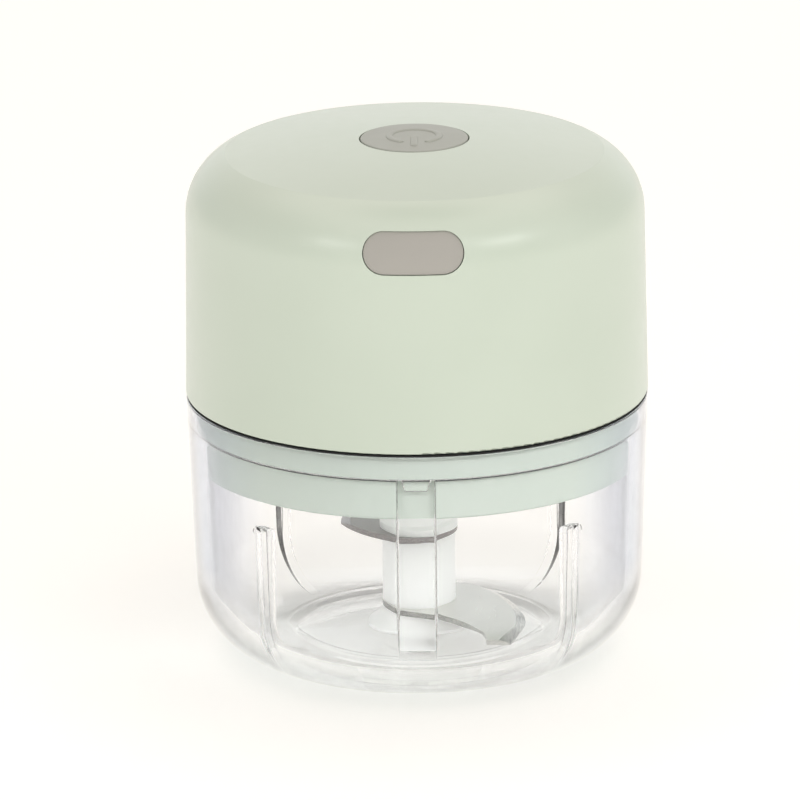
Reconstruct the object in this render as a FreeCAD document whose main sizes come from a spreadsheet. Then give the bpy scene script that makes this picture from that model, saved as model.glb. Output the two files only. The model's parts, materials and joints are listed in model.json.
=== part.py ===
import FreeCAD, Part
import os
import re
import Sketcher
from FreeCAD import Placement, Rotation, Vector

# Cordless mini food processor: a clear bowl with a two-blade knife on a fixed
# spindle, under a domed motor unit with a push button, a battery and a charging
# port behind a silicone cover. Millimetres, +Z up, front towards -Y, origin at
# the centre of the bowl's underside.

doc = FreeCAD.newDocument("MiniFoodProcessor")
sheet = doc.addObject("Spreadsheet::Sheet", "Dims")

SIZES = [
    # bowl
    ("rim_radius", 41.0, "outer radius of the bowl at its rim"),
    ("rim_height", 47.6, "height of the bowl's rim"),
    ("bowl_low_radius", 39.85, "outer radius where the lower corner starts"),
    ("corner_outer", 14.5, "outer corner radius"),
    ("ledge_height", 43.1, "height of the ledge the motor unit rests on"),
    ("ledge_bore", 39.2, "bore above the ledge"),
    ("inner_top_radius", 37.8, "inner radius at the ledge"),
    ("inner_low_radius", 36.9, "inner radius above the inner corner"),
    ("inner_low_height", 15.3, "height where the inner corner starts"),
    ("corner_inner", 11.5, "inner corner radius"),
    ("floor_height", 3.4, "top of the bowl's floor"),
    ("floor_ring", 0.45, "height and width of the step round the floor"),
    ("underside_radius", 22.5, "radius of the recess in the underside"),
    ("underside_recess", 0.7, "depth of the recess in the underside"),
    ("boss_radius", 4.4, "radius of the spindle's boss"),
    ("boss_height", 3.95, "top of the spindle's boss"),
    ("rib_thick", 2.2, "thickness of a chopping rib"),
    ("rib_radius", 35.0, "radius of a chopping rib's inner edge"),
    ("rib_top", 30.8, "top of a chopping rib"),
    ("rib_cap", 1.2, "radius on a chopping rib's top corner"),
    ("rib_foot_radius", 27.2, "radius where a chopping rib meets the floor"),
    ("rib_turn", 45, "angle from the front to the first chopping rib"),
    ("key_width", 6.25, "width of a locating rib"),
    ("key_top_radius", 36.35, "radius of a locating rib's face at its top"),
    ("key_low_radius", 35.6, "radius of a locating rib's face at its foot"),
    ("key_foot", 13.5, "foot of a locating rib"),
    ("notch_top", 5.0, "width of the notch at its mouth"),
    ("notch_low", 3.8, "width of the notch at its floor"),
    ("notch_depth", 2.3, "depth of the notch in the front locating rib"),
    ("edge_round", 0.5, "rounding of the bowl's rim"),
    # spindle and knife
    ("spindle_radius", 2.0, "radius of the fixed spindle"),
    ("spindle_low", 1.3, "lower end of the spindle"),
    ("spindle_top", 25.8, "upper end of the spindle"),
    ("spindle_play", 0.05, "radial clearance on the spindle"),
    ("hub_radius", 6.5, "radius of the knife's hub"),
    ("hub_low", 4.3, "underside of the hub's foot"),
    ("foot_radius", 9.1, "radius of the hub's foot flange"),
    ("foot_edge", 1.0, "height of the foot flange's edge"),
    ("knife_low", 8.5, "underside of the lower blade"),
    ("knife_high", 22.0, "underside of the upper blade"),
    ("blade_thick", 1.0, "thickness of a blade"),
    ("core_radius", 4.4, "radius of the hub's core through the blades"),
    ("core_play", 0.03, "clearance between the core and what it carries"),
    ("bush_radius", 3.0, "outer radius of the spindle's bush"),
    ("bush_low", 4.6, "lower end of the bush"),
    ("bush_top", 20.0, "upper end of the bush"),
    ("core_top", 26.6, "top of the hub's core"),
    ("hub_top", 36.1, "top of the hub"),
    ("socket_low", 27.8, "floor of the hub's hexagonal socket"),
    ("socket_flats", 6.16, "width across the socket's flats"),
    ("drive_flats", 6.0, "width across the drive head's flats"),
    ("drive_low", 28.4, "lower end of the drive head"),
    ("edge_curve", 33.8, "radius of a blade's ground edge"),
    ("bevel_width", 1.7, "width of the ground face on a blade"),
    # base cover
    ("flange_radius", 39.0, "radius of the cover's flange in the bowl"),
    ("flange_low", 43.2, "underside of the cover's flange"),
    ("split_height", 48.1, "lower edge of the housing"),
    ("spigot_radius", 38.6, "radius of the cover's spigot in the housing"),
    ("spigot_top", 50.6, "top of the cover's spigot"),
    ("skirt_radius", 37.5, "radius of the cover's skirt"),
    ("skirt_low", 36.5, "underside of the cover"),
    ("lip_low", 35.6, "lower edge of the lip round the cover's underside"),
    ("lip_inner", 34.9, "inner radius of that lip"),
    ("skirt_bore", 34.5, "bore of the cover's skirt"),
    ("cover_floor", 38.5, "inner floor of the cover"),
    ("slot_width", 6.65, "width of the cover's slots for the locating ribs"),
    ("slot_radius", 36.0, "radius of the floor of those slots"),
    ("lug_gap", 0.12, "gap between the cover's lug and the notch"),
    ("seal_low", 47.7, "underside of the rim gasket"),
    ("seal_inner", 39.15, "inner radius of the rim gasket"),
    ("seal_outer", 40.55, "outer radius of the rim gasket"),
    ("hole_radius", 6.0, "radius of the cover's centre hole"),
    ("drive_radius", 4.0, "radius of the drive head's collar"),
    ("seal_play", 0.05, "clearance of the collar in its seal"),
    # housing
    ("shoulder_radius", 40.5, "outer radius where the shoulder starts"),
    ("shoulder_height", 80.8, "height where the shoulder starts"),
    ("shoulder_arc", 11.6, "radius of the shoulder's section"),
    ("plateau_radius", 33.4, "radius of the top's edge"),
    ("plateau_height", 91.6, "height of the top's edge"),
    ("crown_height", 94.1, "height of the crown"),
    ("wall", 2.2, "wall of the housing"),
    ("post_circle", 31.0, "radius of the circle of screw posts"),
    ("post_radius", 3.1, "radius of a screw post"),
    ("post_low", 41.2, "lower end of a screw post"),
    ("post_top", 89.3, "upper end of a screw post, in the shoulder"),
    ("pilot_radius", 1.15, "radius of a screw's pilot hole"),
    ("pilot_depth", 10.0, "depth of a screw's pilot hole"),
    # button and port
    ("button_radius", 9.5, "radius of the button"),
    ("button_gap", 0.25, "gap round the button"),
    ("button_top", 94.35, "top of the button"),
    ("button_low", 91.1, "underside of the button's cap"),
    ("button_flange", 11.0, "radius of the button's retaining flange"),
    ("button_travel", 0.8, "travel of the button"),
    ("port_height", 84.3, "height of the charging port's centre"),
    ("plug_height", 83.9, "height of the centre of the port's cover"),
    ("port_width", 17.3, "width of the port's cover"),
    ("port_tall", 7.1, "height of the port's cover"),
    ("port_gap", 0.14, "gap round the port's cover"),
    ("port_inset", 0.25, "how far the cover sits below the housing's surface"),
    ("port_back", 34.6, "distance of the cover's back from the axis"),
    ("tray_wall", 1.2, "wall of the tray behind the port"),
    # motor, on the axis
    ("can_radius", 13.85, "outer radius of the motor's can"),
    ("can_wall", 1.0, "wall of the motor's can"),
    ("can_low", 41.5, "lower end of the motor's can"),
    ("can_top", 72.5, "upper end of the motor's can"),
    ("shaft_radius", 1.15, "radius of the motor's shaft"),
    ("shaft_low", 31.0, "lower end of the shaft"),
    ("shaft_top", 76.0, "upper end of the shaft"),
    ("armature_radius", 9.1, "radius of the armature"),
    ("armature_low", 48.5, "lower end of the armature"),
    ("armature_top", 61.5, "upper end of the armature"),
    ("fixing_circle", 10.2, "distance of the motor's screws from the axis"),
    ("magnet_bore", 9.4, "inner radius of the magnets"),
    ("magnet_radius", 12.8, "outer radius of the magnets"),
    # battery, board
    ("cell_radius", 9.15, "radius of the battery cell"),
    ("cell_length", 35.0, "length of the battery cell"),
    ("cell_offset", 25.0, "distance of the cell from the axis"),
    ("cell_low", 43.0, "lower end of the cell"),
    ("board_low", 81.4, "underside of the circuit board"),
    ("board_thick", 1.2, "thickness of the circuit board"),
    ("board_radius", 26.0, "radius of the circuit board"),
    ("board_post", 19.0, "distance of the board's screws from the axis"),
    ("usb_width", 8.94, "width of the charging socket"),
    ("usb_tall", 3.26, "height of the charging socket"),
    ("usb_depth", 7.3, "depth of the charging socket"),
    ("usb_front", 33.9, "distance of the charging socket's mouth from the axis"),
    ("wire_radius", 0.65, "radius of a wire"),
    # interlock
    ("lock_radius", 0.95, "radius of the interlock pin"),
    ("lock_circle", 36.95, "distance of the interlock pin from the axis"),
    ("lock_low", 43.18, "lower end of the interlock pin"),
    ("lock_top", 50.9, "upper end of the interlock pin"),
    ("lock_play", 0.08, "clearance of the interlock pin in its hole"),
]
for row, (name, number, note) in enumerate(SIZES, 1):
    sheet.set("A%d" % row, name)
    sheet.set("B%d" % row, str(number))
    sheet.set("C%d" % row, note)
    sheet.setAlias("B%d" % row, name)
doc.recompute()

NAMES = re.compile(r"\b(" + "|".join(entry[0] for entry in SIZES) + r")\b")
parts = []


def dim(text):
    """Turn a formula over the sheet's names into one that can be bound."""
    return NAMES.sub(r"Dims.\1", str(text))


def size(text):
    """Return the value of a formula over the sheet's names."""
    return float(sheet.evalExpression(dim(text)))


def bind(target, **values):
    """Bind properties to formulas; a double underscore stands for a dot."""
    for name, text in values.items():
        target.setExpression(name.replace("__", "."), dim(text))


def body(label, x="0", y="0", z="0", turn="0"):
    """Start a sub-part and place it in the assembly."""
    new = doc.addObject("PartDesign::Body", label)
    new.Placement = Placement(Vector(), Rotation(Vector(0, 0, 1), 0))
    bind(new, Placement__Base__x=x, Placement__Base__y=y, Placement__Base__z=z)
    bind(new, Placement__Rotation__Angle=turn)
    parts.append(new)
    return new


def origin(owner, role):
    """Return one of a body's origin features."""
    return next(item for item in owner.Origin.OriginFeatures if item.Role == role)


def sketch(owner, role, lift="0", turn=None):
    """Attach a sketch to a body's plane, lifted along its normal."""
    new = owner.newObject("Sketcher::SketchObject", owner.Name + "_sketch")
    new.AttachmentSupport = [(origin(owner, role), "")]
    new.MapMode = "FlatFace"
    if turn is None:
        bind(new, AttachmentOffset__Base__z=lift)
    else:
        new.AttachmentOffset = Placement(Vector(), Rotation(Vector(0, 1, 0), 0))
        new.AttachmentOffset = Placement(Vector(), Rotation(Vector(0, 1, 0), size(turn)))
        bind(new, AttachmentOffset__Rotation__Angle=turn)
    return new


def fix(target, kind, item, point, text):
    """Pin one coordinate of a sketch point to a formula."""
    index = target.addConstraint(Sketcher.Constraint(kind, item, point, size(text)))
    target.setExpression("Constraints[%d]" % index, dim(text))


def arc_ends(start, end, radius, side):
    """Return the circle and its two angles for an arc between two points."""
    middle = (start + end) * 0.5
    chord = end - start
    reach = max(radius * radius - chord.Length * chord.Length / 4.0, 0.0) ** 0.5
    across = Vector(-chord.y, chord.x, 0)
    across.normalize()
    centre = middle + across * reach * side
    circle = Part.Circle(centre, Vector(0, 0, 1), radius)
    first, last = (start, end) if side > 0 else (end, start)
    return Part.ArcOfCircle(circle, circle.parameter(first), circle.parameter(last))


def outline(target, *corners):
    """Draw a closed outline: (x, y), or (x, y, radius, side) to leave by an arc."""
    points = [Vector(size(corner[0]), size(corner[1]), 0) for corner in corners]
    ends = []
    for index, corner in enumerate(corners):
        start, end = points[index], points[(index + 1) % len(points)]
        if len(corner) == 2:
            item = target.addGeometry(Part.LineSegment(start, end), False)
            ends.append((item, 1, 2))
        else:
            arc = arc_ends(start, end, size(corner[2]), corner[3])
            item = target.addGeometry(arc, False)
            ends.append((item, 1, 2) if corner[3] > 0 else (item, 2, 1))
    for index, (item, first, last) in enumerate(ends):
        following = ends[(index + 1) % len(ends)]
        target.addConstraint(
            Sketcher.Constraint("Coincident", item, last, following[0], following[1]))
    for (item, first, last), corner in zip(ends, corners):
        fix(target, "DistanceX", item, first, corner[0])
        fix(target, "DistanceY", item, first, corner[1])
        if len(corner) == 4:
            index = target.addConstraint(
                Sketcher.Constraint("Radius", item, size(corner[2])))
            target.setExpression("Constraints[%d]" % index, dim(corner[2]))


def ring(target, radius, x="0", y="0"):
    """Draw a circle."""
    centre = Vector(size(x), size(y), 0)
    item = target.addGeometry(Part.Circle(centre, Vector(0, 0, 1), size(radius)), False)
    fix(target, "DistanceX", item, 3, x)
    fix(target, "DistanceY", item, 3, y)
    index = target.addConstraint(Sketcher.Constraint("Radius", item, size(radius)))
    target.setExpression("Constraints[%d]" % index, dim(radius))


def pill(target, width, height, y):
    """Draw a slot with full-round ends, centred on the vertical axis."""
    radius = size(height) / 2.0
    reach = size(width) / 2.0 - radius
    level = size(y)
    for side, start in ((1, -1.5707963), (-1, 1.5707963)):
        circle = Part.Circle(Vector(side * reach, level, 0), Vector(0, 0, 1), radius)
        item = target.addGeometry(Part.ArcOfCircle(circle, start, start + 3.1415926), False)
        centre = "(%s - (%s)) / 2 * %d" % (width, height, side)
        fix(target, "DistanceX", item, 3, centre)
        fix(target, "DistanceY", item, 3, y)
        for point in (1, 2):
            fix(target, "DistanceX", item, point, centre)
        index = target.addConstraint(Sketcher.Constraint("Radius", item, radius))
        target.setExpression("Constraints[%d]" % index, dim("(%s) / 2" % height))
    for first, last in ((0, 1), (1, 0)):
        start = target.getPoint(first, 2)
        end = target.getPoint(last, 1)
        item = target.addGeometry(Part.LineSegment(start, end), False)
        target.addConstraint(Sketcher.Constraint("Coincident", item, 1, first, 2))
        target.addConstraint(Sketcher.Constraint("Coincident", item, 2, last, 1))


def feature(owner, kind, **values):
    """Add a feature to a body and bind its sizes."""
    new = owner.newObject("PartDesign::" + kind, owner.Name + "_" + kind.lower())
    bind(new, **values)
    return new


def pad(owner, profile, length, middle=False, back=False):
    """Pad a sketch."""
    new = feature(owner, "Pad", Length=length)
    new.Profile = profile
    new.Midplane = middle
    new.Reversed = back
    return new


def pocket(owner, profile, length, middle=False, back=False):
    """Cut a pocket, along the sketch's normal when back is set."""
    new = feature(owner, "Pocket", Length=length)
    new.Profile = profile
    new.Midplane = middle
    new.Reversed = back
    return new


def turned(owner, *corners):
    """Turn a section in the XZ plane about the body's vertical axis."""
    profile = sketch(owner, "XZ_Plane")
    outline(profile, *corners)
    new = feature(owner, "Revolution")
    new.Profile = profile
    new.ReferenceAxis = (profile, ["V_Axis"])
    new.Angle = 360
    return new


def groove(owner, *corners):
    """Cut a turned section out of a body."""
    profile = sketch(owner, "XZ_Plane")
    outline(profile, *corners)
    new = feature(owner, "Groove")
    new.Profile = profile
    new.ReferenceAxis = (profile, ["V_Axis"])
    new.Angle = 360
    return new


def around(owner, original, count):
    """Repeat a feature about the body's vertical axis."""
    new = owner.newObject("PartDesign::PolarPattern", owner.Name + "_pattern")
    new.Originals = [original]
    new.Axis = (origin(owner, "Z_Axis"), [""])
    new.Angle = 360
    owner.Tip = new
    new.Occurrences = count
    return new


def soften(owner, kind, amount, wanted):
    """Fillet or chamfer the edges of the body that a test picks."""
    doc.recompute()
    last = owner.Tip
    edges = ["Edge%d" % number for number, edge in enumerate(last.Shape.Edges, 1)
             if wanted(edge)]
    new = owner.newObject("PartDesign::" + kind, owner.Name + "_" + kind.lower())
    new.Base = (last, edges)
    bind(new, **{"Radius" if kind == "Fillet" else "Size": amount})
    return new


def level(edge, height, radius=None):
    """True for a circular edge at a height, and of a radius if one is given."""
    if not isinstance(edge.Curve, Part.Circle):
        return False
    if abs(edge.BoundBox.ZMin - height) > 0.01 or abs(edge.BoundBox.ZMax - height) > 0.01:
        return False
    return radius is None or abs(edge.Curve.Radius - radius) < 0.01


def cylinder(label, radius, low, high, x="0", y="0"):
    """A plain round part, such as a pin."""
    new = doc.addObject("Part::Cylinder", label)
    bind(new, Radius=radius, Height="(%s) - (%s)" % (high, low))
    bind(new, Placement__Base__x=x, Placement__Base__y=y, Placement__Base__z=low)
    parts.append(new)
    return new


def hexagon(target, flats):
    """Draw a hexagon with its flats facing front and back."""
    side = "(%s) / 1.7320508 " % flats
    outline(target,
            (side, "0"), (side + "/ 2", "(%s) / 2" % flats),
            ("0 - %s/ 2" % side, "(%s) / 2" % flats), ("0 - " + side, "0"),
            ("0 - %s/ 2" % side, "0 - (%s) / 2" % flats),
            (side + "/ 2", "0 - (%s) / 2" % flats))


# Bowl: a turned shell with four chopping ribs and two locating ribs.
bowl = body("bowl")
turned(bowl,
       ("0", "underside_recess"),
       ("underside_radius", "underside_recess"),
       ("underside_radius + underside_recess", "0"),
       ("bowl_low_radius - corner_outer", "0", "corner_outer", 1),
       ("bowl_low_radius", "corner_outer"),
       ("rim_radius", "rim_height"),
       ("ledge_bore", "rim_height"),
       ("ledge_bore", "ledge_height"),
       ("inner_top_radius", "ledge_height"),
       ("inner_low_radius", "inner_low_height", "corner_inner", -1),
       ("inner_low_radius - corner_inner", "floor_height + floor_ring"),
       ("inner_low_radius - corner_inner - floor_ring", "floor_height"),
       ("boss_radius + 0.5", "floor_height"),
       ("boss_radius", "boss_height"),
       ("spindle_radius", "boss_height"),
       ("spindle_radius", "spindle_low"),
       ("0", "spindle_low"))
rib_sketch = sketch(bowl, "XZ_Plane", turn="rib_turn")
outline(rib_sketch,
        ("rib_radius + rib_cap", "rib_top", "rib_cap", 1),
        ("rib_radius", "rib_top - rib_cap"),
        ("rib_radius", "inner_low_height", "corner_inner - 1", -1),
        ("rib_foot_radius", "floor_height + floor_ring"),
        ("rib_foot_radius", "floor_height - 1.2", "corner_inner + 1.4", 1),
        ("inner_low_radius + 1.3", "inner_low_height"),
        ("inner_low_radius + 1.6", "rib_top"))
ribs = around(bowl, pad(bowl, rib_sketch, "rib_thick", middle=True), 4)
key_sketch = sketch(bowl, "YZ_Plane")
outline(key_sketch,
        ("0 - inner_top_radius - 1", "ledge_height"),
        ("0 - inner_low_radius - 1", "key_foot - 1"),
        ("0 - inner_low_radius", "key_foot - 1"),
        ("0 - key_low_radius", "key_foot + 0.6"),
        ("0 - key_top_radius", "ledge_height"))
key = around(bowl, pad(bowl, key_sketch, "key_width", middle=True), 2)
notch_sketch = sketch(bowl, "XZ_Plane", "inner_top_radius - 3")
outline(notch_sketch,
        ("0 - notch_top / 2", "ledge_height + 0.01"),
        ("0 - notch_low / 2", "ledge_height - notch_depth"),
        ("notch_low / 2", "ledge_height - notch_depth"),
        ("notch_top / 2", "ledge_height + 0.01"))
pocket(bowl, notch_sketch, "2.95", back=True)
soften(bowl, "Fillet", "edge_round",
       lambda edge: level(edge, size("rim_height")))

cylinder("spindle_pin", "spindle_radius", "spindle_low", "spindle_top")

# Knife: a foot with a core, two blades with a spacer between them, and a cap.
foot = body("hub_foot", z="hub_low")
turned(foot,
       ("bush_radius", "0"),
       ("foot_radius - 0.4", "0"),
       ("foot_radius", "0.4"),
       ("foot_radius", "foot_edge", "knife_low - hub_low - foot_edge + 1.2", -1),
       ("hub_radius", "knife_low - hub_low"),
       ("core_radius", "knife_low - hub_low"),
       ("core_radius", "core_top - hub_low"),
       ("0", "core_top - hub_low"),
       ("0", "core_top - hub_low - 0.5"),
       ("spindle_radius + spindle_play", "core_top - hub_low - 0.5"),
       ("spindle_radius + spindle_play", "bush_top - hub_low"),
       ("bush_radius", "bush_top - hub_low"))


def on_top(edge):
    """True for the long convex edge of a blade's upper face."""
    return (level(edge, size("blade_thick"), size("edge_curve"))
            and edge.Length > size("edge_curve") * 0.5)


def blade(label, low, turn):
    """A crescent blade: a convex ground edge and a hollow trailing edge."""
    new = body(label, z=low, turn=turn)
    shape = sketch(new, "XY_Plane")
    outline(shape,
            ("0", "8.4", "22", -1),
            ("14", "3.7", "edge_curve", -1),
            ("15.9", "0 - 27"),
            ("11.8", "0 - 27.2", "19.9", 1),
            ("0 - 0.5", "0 - 8.5", "8.8", -1))
    pad(new, shape, "blade_thick")
    bore = sketch(new, "XY_Plane")
    ring(bore, "core_radius + core_play")
    pocket(new, bore, "blade_thick", back=True)
    ground = soften(new, "Chamfer", "blade_thick * 0.75", on_top)
    ground.ChamferType = "Two distances"
    bind(ground, Size2="bevel_width")
    return new


blade("blade_lower", "knife_low", "0")
spacer = body("hub_spacer", z="knife_low + blade_thick")
turned(spacer,
       ("core_radius + core_play", "0"),
       ("hub_radius", "0"),
       ("hub_radius", "knife_high - knife_low - blade_thick"),
       ("core_radius + core_play", "knife_high - knife_low - blade_thick"))
blade("blade_upper", "knife_high", "150")
cap = body("hub_cap", z="knife_high + blade_thick")
turned(cap,
       ("0", "core_top + core_play - knife_high - blade_thick"),
       ("core_radius + core_play", "core_top + core_play - knife_high - blade_thick"),
       ("core_radius + core_play", "0"),
       ("hub_radius + 0.45", "0"),
       ("hub_radius + 0.45", "1.2"),
       ("hub_radius", "1.8"),
       ("hub_radius", "hub_top - knife_high - blade_thick - 0.6", "0.6", 1),
       ("hub_radius - 0.6", "hub_top - knife_high - blade_thick"),
       ("0", "hub_top - knife_high - blade_thick"))
socket = sketch(cap, "XY_Plane", "hub_top - knife_high - blade_thick")
hexagon(socket, "socket_flats")
pocket(cap, socket, "hub_top - socket_low")
bush = body("hub_bush", z="bush_low")
turned(bush,
       ("spindle_radius + spindle_play", "0"),
       ("bush_radius - core_play", "0"),
       ("bush_radius - core_play", "bush_top - bush_low"),
       ("spindle_radius + spindle_play", "bush_top - bush_low"))

# Base cover: closes the motor unit and sits in the bowl's rim.
cover = body("base_cover", z="skirt_low")
turned(cover,
       ("hole_radius", "0"),
       ("lip_inner", "0"),
       ("lip_inner", "lip_low - skirt_low"),
       ("skirt_radius - 0.5", "lip_low - skirt_low", "0.5", 1),
       ("skirt_radius", "lip_low - skirt_low + 0.5"),
       ("skirt_radius", "flange_low - skirt_low"),
       ("flange_radius", "flange_low - skirt_low"),
       ("flange_radius", "split_height - skirt_low - 0.05"),
       ("spigot_radius", "split_height - skirt_low - 0.05"),
       ("spigot_radius", "spigot_top - skirt_low"),
       ("spigot_radius - 1.6", "spigot_top - skirt_low"),
       ("spigot_radius - 1.6", "flange_low - skirt_low + 2"),
       ("skirt_bore", "flange_low - skirt_low + 2"),
       ("skirt_bore", "cover_floor - skirt_low"),
       ("hole_radius", "cover_floor - skirt_low"))
slots = sketch(cover, "XZ_Plane", "slot_radius")
outline(slots,
        ("0 - slot_width / 2", "0 - 1"),
        ("slot_width / 2", "0 - 1"),
        ("slot_width / 2", "flange_low - skirt_low"),
        ("0 - slot_width / 2", "flange_low - skirt_low"))
around(cover, pocket(cover, slots, "3", back=True), 2)
lug = sketch(cover, "XZ_Plane", "slot_radius - 0.1")
outline(lug,
        ("0 - notch_low / 2 + lug_gap", "ledge_height - notch_depth + lug_gap - skirt_low"),
        ("notch_low / 2 - lug_gap", "ledge_height - notch_depth + lug_gap - skirt_low"),
        ("notch_top / 2 - lug_gap", "flange_low - skirt_low + 0.2"),
        ("0 - notch_top / 2 + lug_gap", "flange_low - skirt_low + 0.2"))
pad(cover, lug, "skirt_radius + 0.1 - slot_radius")
boss = sketch(cover, "XY_Plane", "cover_floor - skirt_low - 0.2")
ring(boss, "post_radius + 0.2", "post_circle * 0.7071068", "post_circle * 0.7071068")
around(cover, pad(cover, boss, "post_low - cover_floor - 0.1"), 4)
sink = sketch(cover, "XY_Plane")
ring(sink, "2.45", "post_circle * 0.7071068", "post_circle * 0.7071068")
around(cover, pocket(cover, sink, "2.5", back=True), 4)
through = sketch(cover, "XY_Plane")
ring(through, "pilot_radius + 0.1", "post_circle * 0.7071068", "post_circle * 0.7071068")
around(cover, pocket(cover, through, "6", back=True), 4)
lock_hole = sketch(cover, "XY_Plane", "flange_low - skirt_low - 0.5")
ring(lock_hole, "lock_radius + lock_play", "0", "lock_circle")
pocket(cover, lock_hole, "12", back=True)

gasket = body("rim_gasket", z="seal_low")
turned(gasket,
       ("seal_inner", "0"),
       ("seal_outer", "0"),
       ("seal_outer", "split_height - seal_low - 0.05"),
       ("seal_inner", "split_height - seal_low - 0.05"))

# Housing: a thin dome with a hole for the button, a slot for the port's cover
# and four screw posts.
housing = body("motor_housing", z="split_height")
DOME = "((%s)^2 + (%s)^2) / (2 * (%s))"
turned(housing,
       ("0", "0"),
       ("rim_radius - 0.5", "0", "0.5", 1),
       ("rim_radius", "0.5"),
       ("shoulder_radius", "shoulder_height - split_height", "shoulder_arc", 1),
       ("plateau_radius", "plateau_height - split_height",
        DOME % ("plateau_radius", "crown_height - plateau_height",
                "crown_height - plateau_height"), 1),
       ("0", "crown_height - split_height"))
groove(housing,
       ("0", "0"),
       ("rim_radius - wall", "0"),
       ("shoulder_radius - wall", "shoulder_height - split_height",
        "shoulder_arc - wall", 1),
       ("plateau_radius - 0.6", "plateau_height - split_height - wall",
        DOME % ("plateau_radius - 0.6", "crown_height - plateau_height",
                "crown_height - plateau_height"), 1),
       ("0", "crown_height - split_height - wall"))
post = sketch(housing, "XY_Plane", "post_low - split_height")
ring(post, "post_radius", "post_circle * 0.7071068", "post_circle * 0.7071068")
around(housing, pad(housing, post, "post_top - post_low"), 4)
pilot = sketch(housing, "XY_Plane", "post_low - split_height")
ring(pilot, "pilot_radius", "post_circle * 0.7071068", "post_circle * 0.7071068")
around(housing, pocket(housing, pilot, "pilot_depth", back=True), 4)
stud = sketch(housing, "XY_Plane", "board_low + board_thick + 0.05 - split_height")
ring(stud, "2.4", "board_post", "0")
around(housing, pad(housing, stud, "crown_height - board_low - board_thick - 1.5"), 2)
stud_hole = sketch(housing, "XY_Plane", "board_low + board_thick - split_height")
ring(stud_hole, "0.95", "board_post", "0")
around(housing, pocket(housing, stud_hole, "6", back=True), 2)
well = sketch(housing, "XY_Plane", "crown_height - split_height + 1")
ring(well, "button_radius + button_gap")
pocket(housing, well, "6")
window = sketch(housing, "XZ_Plane", "port_back - 0.6")
pill(window, "port_width + 2 * port_gap", "port_tall + 2 * port_gap",
     "plug_height - split_height")
pocket(housing, window, "10", back=True)

# Button: a flush disc with a retaining flange and a stem.
button = body("power_button", z="button_low")
turned(button,
       ("0", "0 - 2"),
       ("2", "0 - 2"),
       ("2", "0 - 0.5"),
       ("button_flange", "0 - 0.5"),
       ("button_flange", "0.25"),
       ("button_radius", "0.25"),
       ("button_radius", "button_top - button_low - 0.55", "0.25", 1),
       ("button_radius - 0.25", "button_top - button_low - 0.3",
        DOME % ("button_radius - 0.25", "0.3", "0.3"), 1),
       ("0", "button_top - button_low"))

# Port cover: a silicone plug that follows the housing's surface, with a nub
# that fits round the charging socket's mouth.
plug = body("port_cover")
plug_sketch = sketch(plug, "XZ_Plane", "port_back")
pill(plug_sketch, "port_width", "port_tall", "plug_height")
pad(plug, plug_sketch, "8")
groove(plug,
       ("rim_radius - port_inset", "split_height"),
       ("rim_radius + 4", "split_height"),
       ("rim_radius + 4", "crown_height + 4"),
       ("plateau_radius - 4", "crown_height + 4"),
       ("plateau_radius - port_inset", "plateau_height - port_inset",
        "shoulder_arc", -1),
       ("shoulder_radius - port_inset", "shoulder_height"))
nub = sketch(plug, "XZ_Plane", "usb_front + 0.1")
pill(nub, "usb_width - 1.2", "usb_tall - 1.2", "port_height")
pad(plug, nub, "port_back - usb_front")

# Tray behind the port: keeps dust out of the housing round the socket.
tray = body("port_tray")
tray_sketch = sketch(tray, "XZ_Plane", "port_back - 2.9")
pill(tray_sketch, "port_width + 0.8", "port_tall - 2.6", "port_height + 0.2")
pad(tray, tray_sketch, "2.6")
tray_hole = sketch(tray, "XZ_Plane", "port_back - 2.9")
pill(tray_hole, "usb_width + 0.3", "usb_tall + 0.3", "port_height")
pocket(tray, tray_hole, "3", back=True)

# Motor.
can = body("motor_can", z="can_low")
turned(can,
       ("3.52", "0"),
       ("can_radius - 1", "0", "1", 1),
       ("can_radius", "1"),
       ("can_radius", "can_top - can_low"),
       ("can_radius - can_wall", "can_top - can_low"),
       ("can_radius - can_wall", "1.2"),
       ("3.52", "1.2"))
fixing = sketch(can, "XY_Plane")
ring(fixing, "1.25", "fixing_circle", "0")
around(can, pocket(can, fixing, "1.2", back=True), 2)
magnets = []
for label, turn in (("magnet_front", "0"), ("magnet_rear", "180")):
    magnet = body(label, z="armature_low - 2", turn=turn)
    arc_sketch = sketch(magnet, "XY_Plane")
    outline(arc_sketch,
            ("0 - magnet_radius * 0.8660254", "0 - magnet_radius / 2", "magnet_radius", 1),
            ("magnet_radius * 0.8660254", "0 - magnet_radius / 2"),
            ("magnet_bore * 0.8660254", "0 - magnet_bore / 2", "magnet_bore", -1),
            ("0 - magnet_bore * 0.8660254", "0 - magnet_bore / 2"))
    pad(magnet, arc_sketch, "armature_top - armature_low + 4")
front_bearing = body("front_bearing", z="can_low + 0.3")
turned(front_bearing,
       ("shaft_radius + 0.03", "0"), ("3.5", "0"), ("3.5", "2.6"),
       ("shaft_radius + 0.03", "2.6"))
rear_bearing = body("rear_bearing", z="can_top + 0.6")
turned(rear_bearing,
       ("shaft_radius + 0.03", "0"), ("3", "0"), ("3", "1.9"),
       ("shaft_radius + 0.03", "1.9"))
end_cap = body("motor_end_cap", z="can_top - 5.4")
turned(end_cap,
       ("7.15", "0"),
       ("can_radius - can_wall - 0.05", "0"),
       ("can_radius - can_wall - 0.05", "5.45"),
       ("can_radius - 0.2", "5.45"),
       ("can_radius - 0.2", "6.6"),
       ("7", "6.6"),
       ("7", "9.1"),
       ("shaft_radius + 0.2", "9.1"),
       ("shaft_radius + 0.2", "8"),
       ("3.02", "8"),
       ("3.02", "5.4"),
       ("7.15", "5.4"))
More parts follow.
